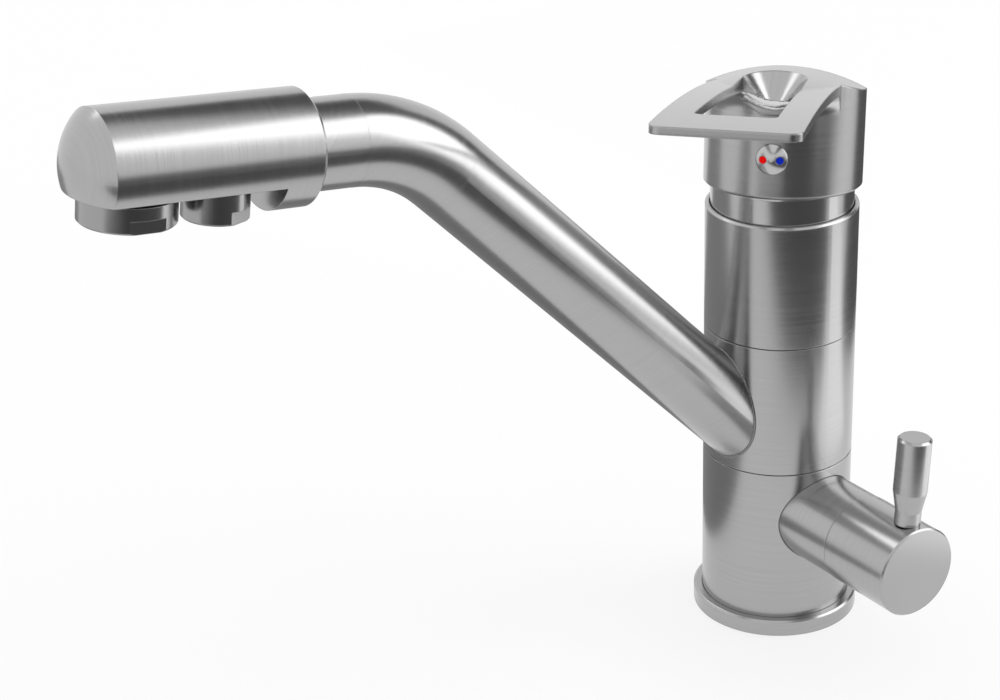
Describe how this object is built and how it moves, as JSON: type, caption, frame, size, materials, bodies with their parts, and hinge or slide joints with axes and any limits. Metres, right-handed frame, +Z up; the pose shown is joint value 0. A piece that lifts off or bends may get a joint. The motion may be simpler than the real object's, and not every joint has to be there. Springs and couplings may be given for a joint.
{
  "type": "three way kitchen tap",
  "caption": "Brushed kitchen mixer tap with a swivel spout, separate mixed and filtered water nozzles, a lifting top lever and a side knob for the filtered water.",
  "frame": {"origin": "centre of the base ring's underside, on the column axis, at the sink deck", "axes": "+Z up along the column, -Y towards the spout's outlet at rest, +X out along the filtered water valve"},
  "size_m": [0.1141, 0.2672, 0.2246],
  "materials": {
    "satin_nickel": "brushed satin nickel, the marks running round each turned piece and along the lever",
    "polished_nickel": "polished nickel",
    "bright_chrome": "bright polished",
    "black_rubber": "moulded black rubber",
    "white_plastic": "moulded acetal, matt",
    "grey_plastic": "moulded, matt dark grey",
    "white_ceramic": "lapped alumina",
    "raw_brass": "machined brass",
    "plain_steel": "plain ground steel",
    "aerator_plastic": "moulded grey, with a pattern of small holes",
    "red_enamel": "red enamel",
    "blue_enamel": "blue enamel"
  },
  "bodies": {
    "tap_body": {"base_ring": "satin_nickel", "base_gasket": "black_rubber", "lower_body": "satin_nickel", "valve_body": "satin_nickel", "lower_slip_ring": "grey_plastic", "upper_slip_ring": "grey_plastic", "neck_orings": "black_rubber", "upper_body": "satin_nickel", "cartridge_base": "grey_plastic", "cartridge_seals": "black_rubber", "cartridge_housing": "white_plastic", "fixed_disc": "white_ceramic", "cartridge_nut": "raw_brass", "dome_collar": "polished_nickel", "valve_headwork": "raw_brass", "valve_seal": "black_rubber", "valve_seat_disc": "white_ceramic"},
    "spout": {"spout_hub": "satin_nickel", "spout_tube": "satin_nickel", "filtered_tube": "white_plastic", "spout_head": "satin_nickel", "filter_elbow": "raw_brass", "main_nozzle": "polished_nickel", "main_washer": "black_rubber", "main_aerator": "aerator_plastic", "filter_nozzle": "polished_nickel", "filter_washer": "black_rubber", "filter_aerator": "aerator_plastic"},
    "turret": {"cartridge_turret": "grey_plastic", "turret_pin": "plain_steel"},
    "lever": {"handle_lever": "satin_nickel", "stem_screw": "plain_steel", "index_button": "bright_chrome", "hot_dot": "red_enamel", "cold_dot": "blue_enamel", "cartridge_stem": "raw_brass"},
    "mixing_disc": {"sliding_disc": "white_ceramic", "disc_carrier": "grey_plastic"},
    "filter_knob": {"valve_turning_disc": "white_ceramic", "valve_spindle": "raw_brass", "filter_knob": "satin_nickel", "knob_lever_pin": "satin_nickel"}
  },
  "joints": [
    {"name": "spout_swivel", "type": "hinge", "parent": "tap_body", "child": "spout", "pos_m": [0, 0, 0.08], "axis": [0, 0, 1], "continuous": true},
    {"name": "handle_turn", "type": "hinge", "parent": "tap_body", "child": "turret", "pos_m": [0, 0, 0.14], "axis": [0, 0, 1], "range_deg": [-91.6, 8.4]},
    {"name": "handle_lift", "type": "hinge", "parent": "turret", "child": "lever", "pos_m": [0, 0, 0.1466], "axis": [-0.7478, -0.6639, 0], "range_deg": [-5, 7]},
    {"name": "mixing_disc_slide", "type": "slide", "parent": "turret", "child": "mixing_disc", "axis": [0.6639, -0.7478, 0], "range_m": [-0.0015, 0.0021]},
    {"name": "filter_turn", "type": "hinge", "parent": "tap_body", "child": "filter_knob", "pos_m": [0.0542, 0, 0.0399], "axis": [1, 0, 0], "range_deg": [0, 90]}
  ],
  "couplings": [
    {"joint": "mixing_disc_slide", "follows": "handle_lift", "m_per_rad": 0.017}
  ]
}
